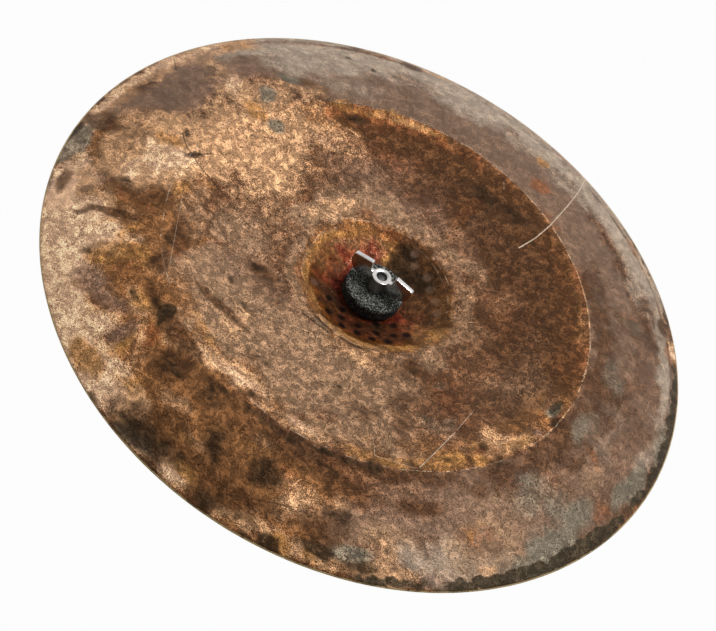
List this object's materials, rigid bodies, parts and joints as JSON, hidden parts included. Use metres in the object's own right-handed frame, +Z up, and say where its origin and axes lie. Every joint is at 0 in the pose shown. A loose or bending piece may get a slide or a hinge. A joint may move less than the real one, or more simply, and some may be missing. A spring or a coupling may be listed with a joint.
{
  "type": "china cymbal",
  "caption": "Thin hammered bronze cymbal with a turned-down flange, mounted bell down on a rod between felts under a wing nut; it spins and rocks when struck.",
  "frame": {"origin": "centre of the rod's flat foot, on the cymbal's axis", "axes": "+Z up along the rod and the cymbal's axis, +X along the wing nut's wings at rest"},
  "size_m": [0.4064, 0.4064, 0.0731],
  "materials": {
    "bronze": "raw, hammered and heat-stained, unpolished",
    "bright_plate": "bright plated casting",
    "rod_steel": "zinc plated thread",
    "nut_steel": "zinc plated",
    "washer_steel": "pressed and nickel plated",
    "nylon": "moulded nylon",
    "felt": "pressed charcoal wool felt"
  },
  "bodies": {
    "post": {"rod": "rod_steel", "seat_nut": "nut_steel", "sleeve": "nylon"},
    "swivel": {"cup_washer": "washer_steel", "lower_felt": "felt"},
    "cymbal": {"cymbal": "bronze"},
    "upper_felt": {"upper_felt": "felt"},
    "wing_nut": {"wing_nut": "bright_plate"}
  },
  "joints": [
    {"name": "cymbal_spin", "type": "hinge", "parent": "post", "child": "swivel", "pos_m": [0, 0, 0.0311], "axis": [0, 0, 1], "continuous": true},
    {"name": "cymbal_rock", "type": "hinge", "parent": "swivel", "child": "cymbal", "pos_m": [0, 0, 0.04385], "axis": [1, 0, 0], "range_deg": [-10, 10], "stiffness_Nm_per_rad": 2.5, "deforming": ["lower_felt", "upper_felt"]},
    {"name": "felt_lift", "type": "slide", "parent": "post", "child": "upper_felt", "axis": [0, 0, 1], "range_m": [-0.00125, 0.0025], "deforming": ["upper_felt"]},
    {"name": "nut_turn", "type": "hinge", "parent": "upper_felt", "child": "wing_nut", "pos_m": [0, 0, 0.0564], "axis": [0, 0, 1], "range_deg": [-360, 720]}
  ],
  "couplings": [
    {"joint": "felt_lift", "follows": "nut_turn", "m_per_rad": 0.00019894}
  ]
}
